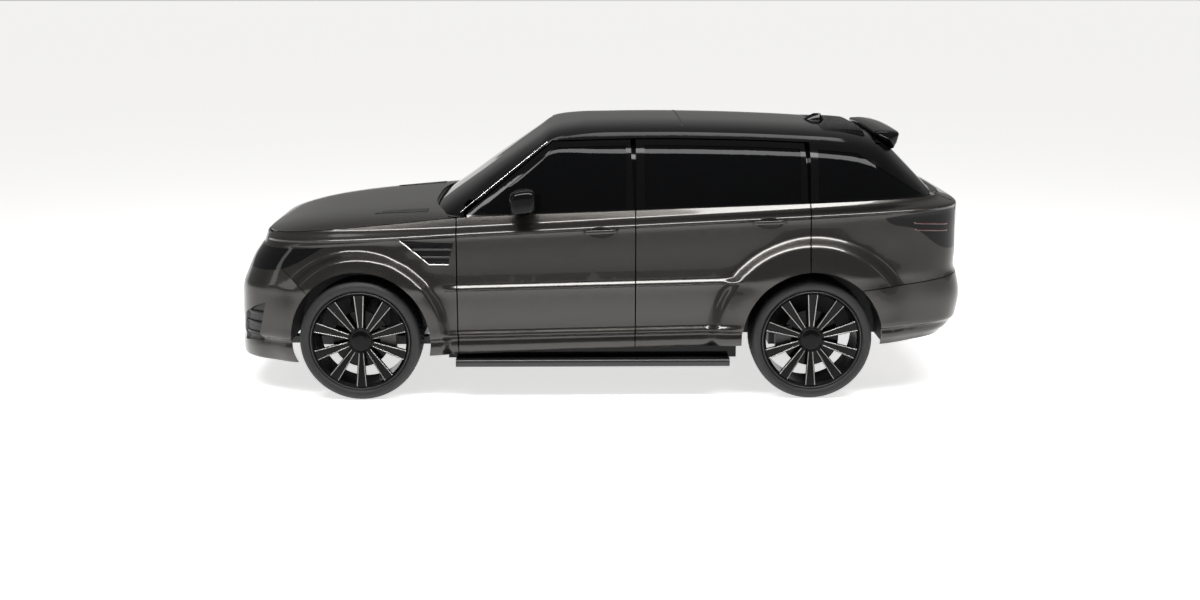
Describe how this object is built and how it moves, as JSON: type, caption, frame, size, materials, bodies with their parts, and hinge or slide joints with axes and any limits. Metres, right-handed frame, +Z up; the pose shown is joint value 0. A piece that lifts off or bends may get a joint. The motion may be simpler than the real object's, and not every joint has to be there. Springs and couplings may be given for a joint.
{
  "type": "sport utility vehicle",
  "caption": "Large sport utility vehicle with hinged side doors, bonnet and tailgate, steered front wheels, turning wheels and a fitted cabin.",
  "frame": {"origin": "on the ground under the middle of the vehicle's overall box", "axes": "+X towards the nose, +Y to the vehicle's left side, +Z up"},
  "size_m": [4.8464, 2.17, 1.7658],
  "materials": {
    "paint": "gloss metallic clear coat",
    "gloss_black": "gloss",
    "dark_glass": "polished, tinted",
    "rubber": "matt",
    "alloy": "gloss black and machined",
    "steel": "plain",
    "iron": "cast",
    "trim": "grained",
    "leather": "soft",
    "lamp": "polished, smoked",
    "structure": "satin"
  },
  "bodies": {
    "body": {"side_frame_left": "gloss_black", "side_frame_right": "gloss_black", "quarter_glass": "dark_glass", "roof": "gloss_black", "windscreen": "dark_glass", "cowl": "trim", "front_wings": "paint", "front_bumper": "paint", "grilles": "trim", "headlamps": "lamp", "rear_quarters": "paint", "tail_lamps": "lamp", "rear_bumper": "paint", "floor_pan": "structure", "arch_liners": "trim", "running_boards": "trim", "engine_block": "iron", "front_subframe": "structure", "rear_subframe": "structure", "exhaust": "steel", "front_seats": "leather", "rear_seats": "leather", "dashboard": "trim"},
    "front_door_left": {"front_door_left": "paint", "front_door_glass_left": "dark_glass", "mirror_left": "gloss_black"},
    "front_door_right": {"front_door_right": "paint", "front_door_glass_right": "dark_glass", "mirror_right": "gloss_black"},
    "rear_door_left": {"rear_door_left": "paint", "rear_door_glass_left": "dark_glass"},
    "rear_door_right": {"rear_door_right": "paint", "rear_door_glass_right": "dark_glass"},
    "bonnet": {"bonnet": "paint"},
    "tailgate": {"tailgate": "paint", "tailgate_glass": "dark_glass", "spoiler": "gloss_black"},
    "knuckle_left": {"knuckle_left": "iron"},
    "knuckle_right": {"knuckle_right": "iron"},
    "steering_wheel": {"steering_wheel": "leather"},
    "wheel_front_left": {"tyre_front_left": "rubber", "rim_front_left": "alloy"},
    "wheel_front_right": {"tyre_front_right": "rubber", "rim_front_right": "alloy"},
    "wheel_rear_left": {"tyre_rear_left": "rubber", "rim_rear_left": "alloy"},
    "wheel_rear_right": {"tyre_rear_right": "rubber", "rim_rear_right": "alloy"}
  },
  "joints": [
    {"name": "front_left_door_hinge", "type": "hinge", "parent": "body", "child": "front_door_left", "pos_m": [0.857, 0.938, 0.5], "axis": [0, 0, -1], "range_deg": [0, 65]},
    {"name": "front_right_door_hinge", "type": "hinge", "parent": "body", "child": "front_door_right", "pos_m": [0.857, -0.938, 0.5], "axis": [0, 0, 1], "range_deg": [0, 65]},
    {"name": "rear_left_door_hinge", "type": "hinge", "parent": "body", "child": "rear_door_left", "pos_m": [-0.288, 0.938, 0.5], "axis": [0, 0, -1], "range_deg": [0, 65]},
    {"name": "rear_right_door_hinge", "type": "hinge", "parent": "body", "child": "rear_door_right", "pos_m": [-0.288, -0.938, 0.5], "axis": [0, 0, 1], "range_deg": [0, 65]},
    {"name": "bonnet_hinge", "type": "hinge", "parent": "body", "child": "bonnet", "pos_m": [0.945, 0, 1.18], "axis": [0, -1, 0], "range_deg": [0, 50]},
    {"name": "tailgate_hinge", "type": "hinge", "parent": "body", "child": "tailgate", "pos_m": [-1.77, 0, 1.67779], "axis": [0, 1, 0], "range_deg": [0, 80]},
    {"name": "left_steer", "type": "hinge", "parent": "body", "child": "knuckle_left", "pos_m": [1.545, 0.8, 0.395], "axis": [0, 0, 1], "range_deg": [-32, 32]},
    {"name": "right_steer", "type": "hinge", "parent": "body", "child": "knuckle_right", "pos_m": [1.545, -0.8, 0.395], "axis": [0, 0, 1], "range_deg": [-32, 32]},
    {"name": "steering_wheel_turn", "type": "hinge", "parent": "body", "child": "steering_wheel", "pos_m": [0.57, 0.37, 0.985], "axis": [-0.9063, 0, 0.4226], "range_deg": [-450, 450]},
    {"name": "front_left_wheel_spin", "type": "hinge", "parent": "knuckle_left", "child": "wheel_front_left", "pos_m": [1.545, 0.825, 0.395], "axis": [0, 1, 0], "continuous": true},
    {"name": "front_right_wheel_spin", "type": "hinge", "parent": "knuckle_right", "child": "wheel_front_right", "pos_m": [1.545, -0.825, 0.395], "axis": [0, 1, 0], "continuous": true},
    {"name": "rear_left_wheel_spin", "type": "hinge", "parent": "body", "child": "wheel_rear_left", "pos_m": [-1.378, 0.825, 0.395], "axis": [0, 1, 0], "continuous": true},
    {"name": "rear_right_wheel_spin", "type": "hinge", "parent": "body", "child": "wheel_rear_right", "pos_m": [-1.378, -0.825, 0.395], "axis": [0, 1, 0], "continuous": true}
  ],
  "couplings": [
    {"joint": "right_steer", "follows": "left_steer", "ratio": 1},
    {"joint": "steering_wheel_turn", "follows": "left_steer", "ratio": 14}
  ]
}
